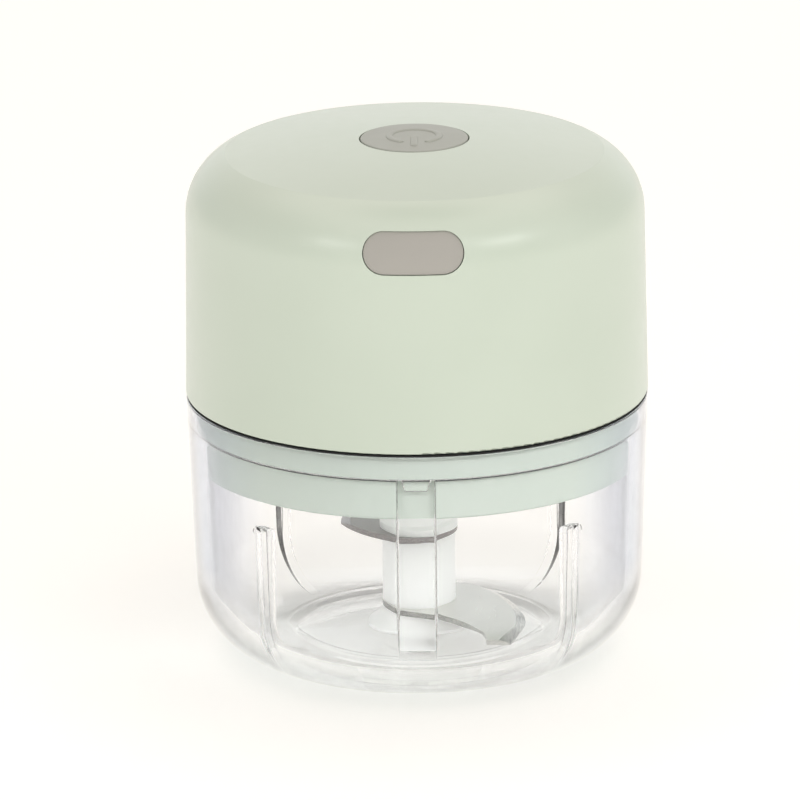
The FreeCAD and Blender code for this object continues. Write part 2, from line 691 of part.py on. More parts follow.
for label, turn in (("brush_left", "180"), ("brush_right", "0")):
    brush = body(label, z="can_top - 5.2", turn=turn)
    brush_sketch = sketch(brush, "XZ_Plane")
    outline(brush_sketch, ("2.56", "0"), ("7", "0"), ("7", "3"), ("2.56", "3"))
    pad(brush, brush_sketch, "2.4", middle=True)
plate = body("motor_plate", z="cover_floor + 0.05")
turned(plate,
       ("7.6", "0"), ("16", "0"), ("16", "3.6"), ("can_radius + 0.1", "3.6"),
       ("can_radius + 0.1", "2.9"), ("7.6", "2.9"))
for radius, depth in (("1.9", "1.6"), ("1.25", "3")):
    plate_sink = sketch(plate, "XY_Plane")
    ring(plate_sink, radius, "fixing_circle", "0")
    around(plate, pocket(plate, plate_sink, depth, back=True), 2)
damper = body("motor_damper", z="can_low + 22")
turned(damper,
       ("can_radius + 0.02", "0"), ("can_radius + 1.4", "0"), ("can_radius + 1.4", "4"),
       ("can_radius + 0.02", "4"))
shaft_seal = body("shaft_seal", z="skirt_low + 0.3")
turned(shaft_seal,
       ("drive_radius + seal_play", "0"),
       ("hole_radius - 0.03", "0"),
       ("hole_radius - 0.03", "cover_floor - skirt_low - 0.28"),
       ("7.2", "cover_floor - skirt_low - 0.28"),
       ("7.2", "cover_floor - skirt_low + 0.7"),
       ("drive_radius + seal_play", "cover_floor - skirt_low + 0.7"))

# Turning parts of the motor.
cylinder("motor_shaft", "shaft_radius", "shaft_low", "shaft_top")
core = body("armature_core", z="armature_low")
turned(core,
       ("shaft_radius + 0.01", "0"), ("armature_radius", "0"),
       ("armature_radius", "armature_top - armature_low"),
       ("shaft_radius + 0.01", "armature_top - armature_low"))
winding_slot = sketch(core, "XY_Plane")
outline(winding_slot,
        ("4", "0 - 1.2"), ("7", "0 - 3.4"), ("7.4", "0 - 3.4"), ("7.4", "0 - 0.8"),
        ("armature_radius + 1", "0 - 0.8"), ("armature_radius + 1", "0.8"),
        ("7.4", "0.8"), ("7.4", "3.4"), ("7", "3.4"), ("4", "1.2"))
around(core, pocket(core, winding_slot, "armature_top - armature_low", back=True), 3)
winding = body("armature_winding", z="armature_low - 2.4")
turned(winding,
       ("2.4", "0"), ("7.2", "0"), ("7.8", "0.6"), ("7.8", "2.35"), ("2.4", "2.35"))
coil = sketch(winding, "XY_Plane", "2")
outline(coil,
        ("4.2", "0 - 1.1"), ("6.95", "0 - 3.1"), ("7.3", "0 - 3.1"), ("7.3", "3.1"),
        ("6.95", "3.1"), ("4.2", "1.1"))
around(winding, pad(winding, coil, "armature_top - armature_low + 1"), 3)
end_turn = sketch(winding, "XZ_Plane")
outline(end_turn,
        ("2.4", "armature_top - armature_low + 2.45"),
        ("7.8", "armature_top - armature_low + 2.45"),
        ("7.8", "armature_top - armature_low + 4.2"),
        ("7.2", "armature_top - armature_low + 4.8"),
        ("2.4", "armature_top - armature_low + 4.8"))
turn_feature = feature(winding, "Revolution")
turn_feature.Profile = end_turn
turn_feature.ReferenceAxis = (end_turn, ["V_Axis"])
turn_feature.Angle = 360
commutator = body("commutator", z="can_top - 5.8")
turned(commutator,
       ("shaft_radius + 0.01", "0"), ("2.5", "0"), ("2.5", "4.2"),
       ("shaft_radius + 0.01", "4.2"))
drive = body("drive_head", z="drive_low")
drive_sketch = sketch(drive, "XY_Plane")
hexagon(drive_sketch, "drive_flats")
pad(drive, drive_sketch, "skirt_low - drive_low")
collar = sketch(drive, "XY_Plane", "skirt_low - drive_low - 0.05")
ring(collar, "drive_radius")
pad(drive, collar, "4.2")
shaft_bore = sketch(drive, "XY_Plane", "shaft_low - drive_low - 0.05")
ring(shaft_bore, "shaft_radius + 0.01")
pocket(drive, shaft_bore, "20", back=True)
soften(drive, "Chamfer", "0.5", lambda edge: edge.BoundBox.ZMax < 0.01)

# Battery and its cradle.
cell = body("battery_cell", x="cell_offset", z="cell_low")
turned(cell,
       ("0", "0"), ("cell_radius - 0.4", "0"), ("cell_radius", "0.4"),
       ("cell_radius", "cell_length - 1.6"), ("cell_radius - 0.5", "cell_length - 1.1"),
       ("2.6", "cell_length - 1.1"), ("2.6", "cell_length"), ("0", "cell_length"))
cradle = body("battery_cradle", x="cell_offset", z="cell_low + 3")
turned(cradle,
       ("cell_radius + 0.1", "0"), ("cell_radius + 1.3", "0"), ("cell_radius + 1.3", "14"),
       ("cell_radius + 0.1", "14"))
gap = sketch(cradle, "YZ_Plane", "5")
outline(gap, ("0 - 12", "0 - 1"), ("12", "0 - 1"), ("12", "15"), ("0 - 12", "15"))
pocket(cradle, gap, "10", back=True)

# Circuit board with its socket, switch, components and screws.
board = body("main_board", z="board_low")
disc = sketch(board, "XY_Plane")
ring(disc, "board_radius")
pad(board, disc, "board_thick")
tongue = sketch(board, "XY_Plane")
outline(tongue,
        ("0 - 7", "0 - usb_front + 2.5"), ("7", "0 - usb_front + 2.5"), ("7", "0 - 20"),
        ("0 - 7", "0 - 20"))
pad(board, tongue, "board_thick")
board_hole = sketch(board, "XY_Plane")
ring(board_hole, "1.25", "board_post", "0")
around(board, pocket(board, board_hole, "board_thick", back=True), 2)
usb = body("usb_socket", z="port_height")
usb_sketch = sketch(usb, "XZ_Plane", "usb_front - usb_depth")
pill(usb_sketch, "usb_width", "usb_tall", "0")
pad(usb, usb_sketch, "usb_depth")
usb_mouth = sketch(usb, "XZ_Plane", "usb_front - usb_depth + 1")
pill(usb_mouth, "usb_width - 0.6", "usb_tall - 0.6", "0")
pocket(usb, usb_mouth, "usb_depth", back=True)
tongue_pad = sketch(usb, "XZ_Plane", "usb_front - usb_depth + 0.5")
outline(tongue_pad, ("0 - 3.35", "0 - 0.35"), ("3.35", "0 - 0.35"), ("3.35", "0.35"),
        ("0 - 3.35", "0.35"))
pad(usb, tongue_pad, "usb_depth - 2.4")
switch = body("button_switch", z="board_low + board_thick + 0.02")
case = sketch(switch, "XY_Plane")
outline(case, ("0 - 3.1", "0 - 3.1"), ("3.1", "0 - 3.1"), ("3.1", "3.1"), ("0 - 3.1", "3.1"))
pad(switch, case, "4")
case_hole = sketch(switch, "XY_Plane", "1")
ring(case_hole, "1.8")
pocket(switch, case_hole, "3.2", back=True)
cylinder("switch_plunger", "1.7", "board_low + board_thick + 2", "button_low - 2.02")
chips = body("board_components", z="board_low + board_thick + 0.02")
chip_base = sketch(chips, "XY_Plane")
outline(chip_base, ("0 - 9", "8"), ("9", "8"), ("9", "17"), ("0 - 9", "17"))
pad(chips, chip_base, "0.25")
chip_tall = sketch(chips, "XY_Plane", "0.2")
outline(chip_tall, ("0 - 7", "10"), ("0 - 2", "10"), ("0 - 2", "14"), ("0 - 7", "14"))
pad(chips, chip_tall, "1.5")
chip_coil = sketch(chips, "XY_Plane", "0.2")
ring(chip_coil, "2.6", "4.5", "12.5")
pad(chips, chip_coil, "2.8")


def screw(label, x, y, low, head, shank, length, grip):
    """A pan-head screw that points up."""
    new = body(label, x=x, y=y, z=low)
    turned(new,
           ("0", "0"), (head + " - 0.5", "0", "0.5", 1), (head, "0.5"), (head, grip),
           (shank, grip), (shank, length), ("0", length))
    slot_sketch = sketch(new, "XY_Plane")
    outline(slot_sketch,
            ("0 - (%s) * 0.6" % head, "0 - 0.2"), ("(%s) * 0.6" % head, "0 - 0.2"),
            ("(%s) * 0.6" % head, "0.2"), ("0 - (%s) * 0.6" % head, "0.2"))
    around(new, pocket(new, slot_sketch, "(%s) * 0.6" % grip, back=True), 4)


for number, (x_sign, y_sign) in enumerate(((1, 1), (0 - 1, 1), (0 - 1, 0 - 1), (1, 0 - 1)), 1):
    screw("cover_screw_%d" % number, "post_circle * 0.7071068 * %d" % x_sign,
          "post_circle * 0.7071068 * %d" % y_sign, "skirt_low + 0.7",
          "2.3", "pilot_radius - 0.03", "11", "1.78")
for label, sign in (("board_screw_left", -1), ("board_screw_right", 1)):
    screw(label, "board_post * %d" % sign, "0", "board_low - 1.25",
          "1.9", "0.9", "6", "1.2")
for label, sign in (("motor_screw_left", -1), ("motor_screw_right", 1)):
    screw(label, "fixing_circle * %d" % sign, "0", "cover_floor + 0.1",
          "1.8", "1.1", "4", "1.4")

# Interlock: a sprung pin that the bowl's rear rib pushes up to a switch.
cylinder("lock_pin", "lock_radius", "lock_low", "lock_top", y="lock_circle")
lock_switch = body("lock_switch", y="lock_circle - 2.6", z="lock_top + 0.3")
lock_case = sketch(lock_switch, "XY_Plane")
outline(lock_case,
        ("0 - 6.4", "0 - 2.9"), ("6.4", "0 - 2.9"), ("6.4", "2.9"), ("0 - 6.4", "2.9"))
pad(lock_switch, lock_case, "6.5")


def wire(label, points):
    """A round wire through points given as formulas."""
    path = Part.BSplineCurve()
    path.interpolate([Vector(*[size(text) for text in point]) for point in points])
    edge = path.toShape()
    start = edge.valueAt(edge.FirstParameter)
    circle = Part.Circle(start, edge.tangentAt(edge.FirstParameter), size("wire_radius"))
    profile = Part.Wire([circle.toShape()])
    new = doc.addObject("Part::Feature", label)
    new.Shape = Part.Wire([edge]).makePipeShell([profile], True, True)
    parts.append(new)


wire("battery_wire", [
    ("cell_offset", "0 - 1", "cell_low + cell_length + 0.75"),
    ("cell_offset - 3", "0 - 5", "cell_low + cell_length + 1.3"),
    ("cell_offset - 8", "0 - 10", "board_low - 1.6"),
    ("cell_offset - 10", "0 - 13", "board_low - 0.75")])
wire("motor_wire", [
    ("0 - 10", "2", "can_top + 2"),
    ("0 - 12.5", "5", "can_top + 3.6"),
    ("0 - 14", "9", "board_low - 2.2"),
    ("0 - 13", "12", "board_low - 0.75")])

doc.recompute()
for item in doc.Objects:
    if "Invalid" in item.State or "Error" in item.State:
        raise RuntimeError("%s did not recompute: %s" % (item.Name, item.State))
os.makedirs("parts", exist_ok=True)
for part in parts:
    shape = part.Shape
    if shape.isNull() or not shape.isValid():
        raise RuntimeError("%s has no valid shape" % part.Label)
    shape.exportStep("parts/%s.step" % part.Label)
    box = shape.BoundBox
    print("%-18s %d  %9.1f  x %7.2f %7.2f  y %7.2f %7.2f  z %7.2f %7.2f" % (
        part.Label, len(shape.Solids), shape.Volume, box.XMin, box.XMax,
        box.YMin, box.YMax, box.ZMin, box.ZMax))
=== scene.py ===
import json
import math

import bmesh
import bpy
from mathutils import Matrix, Vector


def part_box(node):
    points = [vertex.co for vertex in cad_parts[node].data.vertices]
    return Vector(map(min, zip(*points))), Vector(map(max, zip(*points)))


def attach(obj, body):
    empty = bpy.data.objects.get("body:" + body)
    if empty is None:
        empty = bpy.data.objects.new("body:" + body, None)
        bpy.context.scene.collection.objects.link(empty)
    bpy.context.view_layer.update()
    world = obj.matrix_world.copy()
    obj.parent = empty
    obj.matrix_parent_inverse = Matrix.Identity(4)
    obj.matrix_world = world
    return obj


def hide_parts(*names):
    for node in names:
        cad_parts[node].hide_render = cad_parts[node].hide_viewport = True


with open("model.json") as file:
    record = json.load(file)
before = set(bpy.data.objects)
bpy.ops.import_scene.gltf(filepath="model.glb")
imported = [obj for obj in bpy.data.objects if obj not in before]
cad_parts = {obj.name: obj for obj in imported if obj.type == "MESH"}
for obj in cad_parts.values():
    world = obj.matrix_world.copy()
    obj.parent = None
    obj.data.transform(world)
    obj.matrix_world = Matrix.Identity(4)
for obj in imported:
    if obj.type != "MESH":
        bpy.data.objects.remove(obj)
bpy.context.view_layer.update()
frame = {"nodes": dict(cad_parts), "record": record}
nodes = frame["nodes"]

# ---------------------------------------------------------------- sizes, in millimetres
MM = 0.001
RIM_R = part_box("bowl")[1].x / MM
RIM_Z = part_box("bowl")[1].z / MM
TOTAL_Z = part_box("power_button")[1].z / MM

# Bowl: the ledge inside the rim, the wall down to its rounded corner, and the floor.
LEDGE_Z, LEDGE_R, RIM_ROUND = 43.1, 39.2, 0.22
WALL_TOP, WALL_LOW, WALL_LOW_Z, CORNER = 37.8, 36.9, 15.3, 11.5
FLOOR_Z, FLOOR_STEP, FLOOR_BEAD, BEAD_RISE = 3.4, 0.45, 3.4, 0.4
# Bowl: the outer wall, the recess in its underside, and the boss round the spindle.
OUT_LOW, OUT_CORNER = 39.85, 14.5
FOOT_IN, RECESS = 22.5, 0.7
BOSS_R, BOSS_Z, PIN_R, PIN_Z = 4.4, 3.95, 2.02, 1.3
# Bowl: the chopping ribs, the locating ribs, and the notch in the front locating rib.
RIB_R, RIB_TOP, RIB_CAP, RIB_HALF, RIB_CORNER, RIB_FOOT_R = 35.0, 30.8, 1.2, 1.1, 10.5, 27.2
KEY_TOP_R, KEY_LOW_R, KEY_FOOT, KEY_TAPER, KEY_HALF = 36.35, 35.6, 14.1, 4.5, 3.125
NOTCH_TOP, NOTCH_LOW, NOTCH_Z = 2.5, 1.9, 40.8

# A thin dark ring round the rim gasket, standing out into the gap between the housing and the
# bowl: painted shade for the shadow in that gap.
GASKET_R, SHADE_RING_OUT_R, GASKET_LOW, GASKET_HIGH = 40.3, 40.86, 47.7, 47.97
SHADE_RING_ROUND = 0.05

# Emblem on the button: its ring, half of the ring's gap in degrees, and its lines.
SYMBOL_R, SYMBOL_GAP = 4.4, 34.0
SYMBOL_LINE, SYMBOL_RISE = 0.65, 0.22       # half width of a line, and its height
SYMBOL_BAR = (-1.2, -6.0)                   # from the back end of the bar to its front end
BUTTON_R, BUTTON_CROWN = 9.25, 0.3          # edge of the button's domed top, and its rise

# Small rounds on the moulded edges that catch the light.
EDGE_ROUNDS = {"port_cover": 0.25, "power_button": 0.1, "motor_housing": 0.12,
               "base_cover": 0.15, "hub_foot": 0.2, "hub_cap": 0.2}
SHARP_ANGLE = 50                            # edges flatter than this many degrees stay


# ---------------------------------------------------------------- node trees
class Nodes:
    """A short way to build the node tree of a material or of the world."""

    def __init__(self, owner, output="ShaderNodeOutputMaterial", place="Object"):
        owner.use_nodes = True
        self.tree = owner.node_tree
        self.tree.nodes.clear()
        self.out = self.add(output)
        self.place = self.add("ShaderNodeTexCoord").outputs[place]

    def add(self, kind, inputs=None, **settings):
        node = self.tree.nodes.new(kind)
        for key, value in settings.items():
            setattr(node, key, value)
        for key, value in (inputs or {}).items():
            self.put(node.inputs[key], value)
        return node

    def put(self, target, value):
        if isinstance(value, bpy.types.NodeSocket):
            self.tree.links.new(value, target)
        else:
            target.default_value = value

    def finish(self, shader):
        self.put(self.out.inputs["Surface"], shader.outputs[0])

    def noise(self, scale, detail=3.0, roughness=0.55, stretch=None):
        vector = self.place
        if stretch:
            vector = self.add("ShaderNodeMapping",
                              {"Vector": vector, "Scale": stretch}).outputs["Vector"]
        return self.add("ShaderNodeTexNoise", {
            "Vector": vector, "Scale": scale, "Detail": detail,
            "Roughness": roughness}).outputs["Fac"]

    def ramp(self, fac, low, high):
        """A colour that goes from low to high over the middle of a noise's values."""
        node = self.add("ShaderNodeValToRGB", {"Fac": fac})
        for element, position, colour in zip(node.color_ramp.elements, (0.3, 0.7), (low, high)):
            element.position, element.color = position, colour
        return node.outputs["Color"]

    def span(self, fac, low, high):
        """The same for a number."""
        return self.band(fac, 0.3, 0.7, low, high)

    def band(self, value, start, end, low=0.0, high=1.0, shape="LINEAR"):
        """Goes from low to high as a value goes from start to end."""
        return self.add("ShaderNodeMapRange", {
            "Value": value, "From Min": start, "From Max": end,
            "To Min": low, "To Max": high}, interpolation_type=shape).outputs["Result"]

    def blend(self, fac, first, second):
        """A colour from first, at 0, to second, at 1."""
        return self.add("ShaderNodeMix", {0: fac, "A": first, "B": second},
                        data_type="RGBA").outputs["Result"]

    def calc(self, operation, *values):
        return self.add("ShaderNodeMath", dict(enumerate(values)),
                        operation=operation).outputs[0]

    def times(self, first, second):
        return self.calc("MULTIPLY", first, second)

    def bump(self, height, distance, strength=1.0, normal=None):
        inputs = {"Height": height, "Distance": distance, "Strength": strength}
        if normal is not None:
            inputs["Normal"] = normal
        return self.add("ShaderNodeBump", inputs).outputs["Normal"]


# ---------------------------------------------------------------- materials
def srgb(r, g, b):
    """An sRGB colour, 0 to 255, as linear RGBA."""
    def linear(c):
        c /= 255.0
        return c / 12.92 if c <= 0.04045 else ((c + 0.055) / 1.055) ** 2.4
    return (linear(r), linear(g), linear(b), 1.0)


def material(name):
    made = bpy.data.materials.new(name)
    return made, Nodes(made)


def moulded(name, low, high, rough, grain=2600.0, depth=0.000012, coat=0.0,
            coat_rough=0.1, subsurface=0.0, glow=0.0):
    """Moulded plastic or silicone: faint colour drift and a fine skin texture. Its glow is a
    painted glow: the part shines by its own colour.
    """
    made, n = material(name)
    drift = n.noise(22.0, 2.0)
    fine = n.noise(grain, 2.0)
    broad = n.noise(90.0, 2.0)
    shader = n.add("ShaderNodeBsdfPrincipled", {
        "Base Color": n.ramp(drift, low, high),
        "Roughness": n.span(n.noise(420.0, 3.0), rough - 0.03, rough + 0.03),
        "Normal": n.bump(fine, depth, 0.6, n.bump(broad, 0.00003, 0.25)),
        "IOR": 1.5, "Coat Weight": coat, "Coat Roughness": coat_rough,
        "Subsurface Weight": subsurface, "Subsurface Radius": (0.004, 0.004, 0.004),
        # Emission is painted light: a part with glow shines by its own colour.
        "Subsurface Scale": 1.0, "Emission Color": high, "Emission Strength": glow})
    n.finish(shader)
    return made


def metal(name, low, high, rough, stretch=(1.0, 1.0, 1.0), scale=900.0, depth=0.000006,
          swing=0.07, ground=None):
    """Bare metal with fine tool or grinding marks, and a tone for its ground bevels."""
    made, n = material(name)
    marks = n.noise(scale, 4.0, 0.6, stretch)
    colour = n.ramp(n.noise(160.0, 3.0), low, high)
    dullness = n.span(marks, rough - swing, rough + swing)
    if ground:
        tilt = n.add("ShaderNodeSeparateXYZ", {
            "Vector": n.add("ShaderNodeTexCoord").outputs["Normal"]}).outputs["Z"]
        flat = n.band(n.calc("ABSOLUTE", tilt), 0.93, 0.985)
        colour = n.blend(flat, n.ramp(marks, ground, low), colour)
        dullness = n.times(dullness, n.band(flat, 0.0, 1.0, 0.6, 1.0))
    shader = n.add("ShaderNodeBsdfPrincipled", {
        "Base Color": colour, "Metallic": 1.0, "Roughness": dullness,
        "Normal": n.bump(marks, depth, 0.5)})
    n.finish(shader)
    return made


def blade_steel(name, low, high, rough, ground):
    """Satin sheet steel, its marks along the blade."""
    return metal(name, low, high, rough, (1.0, 0.12, 1.0), 3000.0, 0.000001, 0.03, ground)


FOOT_TO_WALL = (10, 20)         # heights between which the foot's painted edge shade becomes the wall's
INNER_R = 38.5                  # between the inner wall and the bore above the ledge
PAINTED_OUTLINE_Z = (4, 12)             # heights between which the painted dark outline, a painted shade, comes in
SEE_THROUGH_Z = 9               # below it, the foot is a little see-through
PAINTED_LEDGE_SHADOW = (-0.48, -0.44, -0.04, -0.01)   # the painted shadow line's edges, from the ledge


def clear_plastic(name, tint, outer_wall_painted_shade, inner_wall_painted_shade, foot_painted_shade, painted_shade_line_colour, shadow_tint):
    """Clear moulding that lamps shine through, with painted shade where it is seen edge on.

    Its rounded foot lets more light through. A dark edge line is painted near its foot where it
    is seen edge on, and a painted shadow line in the corner under its ledge.
    """
    made, n = material(name)
    x, y, z = n.add("ShaderNodeSeparateXYZ", {"Vector": n.place}).outputs
    slant = n.add("ShaderNodeLayerWeight", {"Blend": 0.5}).outputs["Facing"]

    def by_height(start, end, low=0.0, high=1.0):
        return n.band(z, start * MM, end * MM, low, high)

    wall = by_height(*FOOT_TO_WALL)
    inside = n.band(n.calc("ADD", n.times(x, x), n.times(y, y)),
                    ((INNER_R - 0.1) * MM) ** 2, ((INNER_R + 0.1) * MM) ** 2, 1.0, 0.0)
    # Painted shade: seen edge on, the glass turns darker and bluer, most on the outer wall and
    # least at the foot.
    seen_edge_on_painted_shade = n.blend(wall, foot_painted_shade, n.blend(inside, outer_wall_painted_shade, inner_wall_painted_shade))
    swirl = n.blend(n.noise(30.0, 2.0), tint, (1.0, 1.0, 1.0, 1.0))
    colour = n.blend(n.band(slant, 0.3, 0.7), swirl, seen_edge_on_painted_shade)

    # Painted shade: a dark line where the glass is seen nearly edge on, near its foot.
    painted_outline_shade = n.times(n.times(n.band(slant, 0.74, 0.82), n.band(slant, 0.84, 0.92, 1.0, 0.0)),
                      by_height(*PAINTED_OUTLINE_Z, 0.0, 0.7))
    # Painted shadow: a dark line in the corner under the ledge, where the cover's flange sits
    # on it.
    low_start, low_end, high_start, high_end = (LEDGE_Z + part for part in PAINTED_LEDGE_SHADOW)
    corner = n.times(inside, n.times(by_height(low_start, low_end),
                                     by_height(high_start, high_end, 1.0, 0.0)))
    # Both painted lines take the dark painted shade colour.
    colour = n.blend(n.calc("MAXIMUM", painted_outline_shade, corner), colour, painted_shade_line_colour)

    edge_on = n.band(slant, 0.45, 0.92, 1.0, n.band(wall, 0.0, 1.0, 0.15, 0.4))
    glass = n.add("ShaderNodeBsdfPrincipled", {
        "Base Color": colour, "Roughness": n.span(n.noise(700.0, 3.0), 0.0, 0.02),
        "Transmission Weight": 1.0, "IOR": 1.49,
        "Alpha": n.times(edge_on, by_height(0, SEE_THROUGH_Z, 0.7, 1.0)),
        "Normal": n.bump(n.noise(180.0, 2.0), 0.00001, 0.15)})
    clear = n.add("ShaderNodeBsdfTransparent", {"Color": shadow_tint})
    shadow = n.add("ShaderNodeLightPath").outputs["Is Shadow Ray"]
    n.finish(n.add("ShaderNodeMixShader", {0: shadow, 1: glass.outputs[0],
                                           2: clear.outputs[0]}))
    return made


looks = {
    # The bowl's edge tints and its line colour are painted shade.
    "clear_bowl": clear_plastic(
        "clear_bowl_look", tint=(0.965, 0.97, 0.975, 1.0), outer_wall_painted_shade=(0.5, 0.58, 0.78, 1.0),
        inner_wall_painted_shade=(0.8, 0.82, 0.92, 1.0), foot_painted_shade=(0.98, 0.98, 0.99, 1.0),
        painted_shade_line_colour=(0.01, 0.01, 0.015, 1.0), shadow_tint=(0.99, 0.992, 0.998, 1.0)),
    "mint_shell": moulded("mint_shell_look", srgb(204, 215, 199), srgb(210, 220, 205), 0.34,
                          coat=0.25, coat_rough=0.2),
    "mint_cover": moulded("mint_cover_look", srgb(218, 230, 219), srgb(225, 236, 226), 0.38),
    # The hub's glow is painted light: it shines by its own colour, standing in for light
    # through the white plastic.
    "hub_white": moulded("hub_white_painted_glow_look", srgb(248, 249, 248), srgb(252, 253, 252), 0.4,
                         subsurface=0.3, glow=0.14),
    "steel_blade": blade_steel("steel_blade_look", srgb(222, 222, 218), srgb(230, 230, 226),
                               0.3, ground=srgb(168, 169, 168)),
    # A darker copy of the blade steel, whose darkness is painted shade.
    "painted_shade_blade": blade_steel("painted_shade_blade_look", srgb(150, 147, 147),
                                srgb(158, 155, 155), 0.35, ground=srgb(112, 110, 110)),
    "steel_pin": metal("steel_pin_look", srgb(180, 180, 178), srgb(205, 205, 203), 0.2),
    "steel_dark": metal("steel_dark_look", srgb(130, 132, 134), srgb(150, 152, 154), 0.35),
    "steel_screw": metal("steel_screw_look", srgb(170, 171, 173), srgb(192, 193, 196), 0.3),
    "grey_silicone": moulded("grey_silicone_look", srgb(172, 169, 162), srgb(179, 176, 169),
                             0.5, grain=3200.0, depth=0.00002),
    "grey_button": moulded("grey_button_look", srgb(167, 169, 160), srgb(177, 180, 171), 0.42),
    # The gasket's own dark colour; the ring in the rim gap wears it as painted shade.
    "gasket_dark": moulded("gasket_dark_and_gap_shade_look", srgb(12, 13, 14), srgb(20, 21, 22), 0.75),
    "black_plastic": moulded("black_plastic_look", srgb(26, 26, 28), srgb(36, 36, 38), 0.5),
    "natural_plastic": moulded("natural_plastic_look", srgb(222, 219, 208),
                               srgb(232, 229, 220), 0.45),
    "sintered_iron": metal("sintered_iron_look", srgb(62, 62, 64), srgb(84, 84, 86), 0.6),
    "bearing_bronze": metal("bearing_bronze_look", srgb(176, 140, 92), srgb(196, 160, 108),
                            0.4),
    "copper": metal("copper_look", srgb(184, 110, 70), srgb(206, 128, 84), 0.32,
                    (1.0, 1.0, 6.0), 700.0),
    "carbon": moulded("carbon_look", srgb(38, 38, 38), srgb(54, 54, 54), 0.65),
    "cell_wrap": moulded("cell_wrap_look", srgb(52, 96, 150), srgb(60, 106, 162), 0.35),
    "board_green": moulded("board_green_look", srgb(24, 92, 52), srgb(34, 108, 62), 0.35),
    "wire_red": moulded("wire_red_look", srgb(170, 32, 30), srgb(186, 42, 38), 0.45),
    "wire_black": moulded("wire_black_look", srgb(24, 24, 24), srgb(36, 36, 36), 0.45),
}

for entry in frame["record"]["subparts"]:
    for place in nodes[entry["node"]].material_slots:
        place.material = looks[entry["material_slot"]]
# The upper blade takes a darker copy of the steel: painted shade, for the shade of the cover
# above it.
nodes["blade_upper"].material_slots[0].material = looks["painted_shade_blade"]

for name, radius in EDGE_ROUNDS.items():
    rounds = nodes[name].modifiers.new("edge_rounds", "BEVEL")
    rounds.width, rounds.segments = radius * MM, 3
    rounds.limit_method, rounds.angle_limit = "ANGLE", math.radians(SHARP_ANGLE)
    rounds.use_clamp_overlap, rounds.harden_normals = True, True


# ---------------------------------------------------------------- points, all in millimetres
def lerp(low, high, part):
    return low + (high - low) * part


def arc(centre, radius, start, end, count):
    """Points on an arc, its angles in degrees."""
    return [(centre[0] + radius * math.cos(math.radians(lerp(start, end, i / count))),
             centre[1] + radius * math.sin(math.radians(lerp(start, end, i / count))))
            for i in range(count + 1)]


def straight(start, end, count):
    """Points from start up to, but without, end."""
    return [(lerp(start[0], end[0], i / count), lerp(start[1], end[1], i / count))
            for i in range(count)]


# ---------------------------------------------------------------- bowl sections
# Each row is one ring of the surface. It has a plain wall, and a place of its own where a
# chopping rib, a locating rib or the notch in the front locating rib stands on the wall.
def row(r, z, **other):
    """One ring: the plain wall's point and those of the ribs that differ."""
    return {"wall": (r, z), **other}


def plain_rows(points):
    return [row(r, z) for r, z in points]


def wall_r(z):
    """Inner radius of the wall, its corner included."""
    if z >= WALL_LOW_Z:
        return lerp(WALL_LOW, WALL_TOP, (z - WALL_LOW_Z) / (LEDGE_Z - WALL_LOW_Z))
    drop = min(WALL_LOW_Z - z, CORNER)
    return WALL_LOW - CORNER + math.sqrt(CORNER ** 2 - drop ** 2)


def key_r(z):
    """Radius of a locating rib's face, which runs out into the wall at its foot."""
    face = lerp(KEY_LOW_R, KEY_TOP_R, max(z - KEY_FOOT, 0) / (LEDGE_Z - KEY_FOOT))
    if z < KEY_FOOT:
        part = min((KEY_FOOT - z) / KEY_TAPER, 1.0)
        return lerp(face, wall_r(z), part * part * (3 - 2 * part))
    return face


def wall_row(z, rib=None, notch=None):
    """A ring of the inner wall."""
    return row(wall_r(z), z, key=(key_r(z), z), rib=rib or (wall_r(z), z),
               notch=notch or (key_r(z), z))


def outside_rows():
    """The underside with its recess, the outer corner, and the outer wall."""
    rows = plain_rows([
        (0, RECESS), (8, RECESS), (16, RECESS), (FOOT_IN - 0.3, RECESS),
        (FOOT_IN + 0.05, RECESS - 0.08), (FOOT_IN + 0.5, 0.12), (FOOT_IN + 0.85, 0.0)])
    rows += plain_rows(arc((OUT_LOW - OUT_CORNER, OUT_CORNER), OUT_CORNER, -90, 0, 26))
    return rows + plain_rows(straight(
        (OUT_LOW + 0.05, OUT_CORNER + 1.5), (RIM_R - 0.02, RIM_Z - RIM_ROUND), 9))


def rim_rows():
    """The rounded rim, and the bore down to the ledge."""
    rows = plain_rows(arc((RIM_R - 0.02 - RIM_ROUND, RIM_Z - RIM_ROUND), RIM_ROUND, 0, 90, 5))
    rows += plain_rows(arc((LEDGE_R + 0.5, RIM_Z - 0.5), 0.5, 90, 180, 5))
    rows += [row(LEDGE_R, LEDGE_Z + up) for up in (3.0, 1.5, 0.35)]
    return rows + plain_rows([(LEDGE_R - 0.06, LEDGE_Z + 0.1), (LEDGE_R - 0.2, LEDGE_Z)])


def notch_rows():
    """The ledge's inner edge, and the wall beside the notch."""
    rows = [row(WALL_TOP + 0.2, LEDGE_Z, key=(KEY_TOP_R + 0.2, LEDGE_Z),
                notch=(WALL_TOP + 0.12, LEDGE_Z)),
            row(WALL_TOP + 0.04, LEDGE_Z - 0.05, key=(KEY_TOP_R + 0.04, LEDGE_Z - 0.05),
                notch=(WALL_TOP - 0.03, LEDGE_Z - 0.05))]
    rows += [wall_row(z, notch=(WALL_TOP - 0.05, z))
             for z in (LEDGE_Z - 0.2, LEDGE_Z - 1.2, NOTCH_Z + 0.25)]
    return rows + [
        wall_row(NOTCH_Z + 0.12, notch=(WALL_TOP - 0.08, NOTCH_Z + 0.03)),
        wall_row(NOTCH_Z + 0.04, notch=(WALL_TOP - 0.25, NOTCH_Z)),
        wall_row(NOTCH_Z - 0.03, notch=(key_r(NOTCH_Z) + 0.12, NOTCH_Z))]


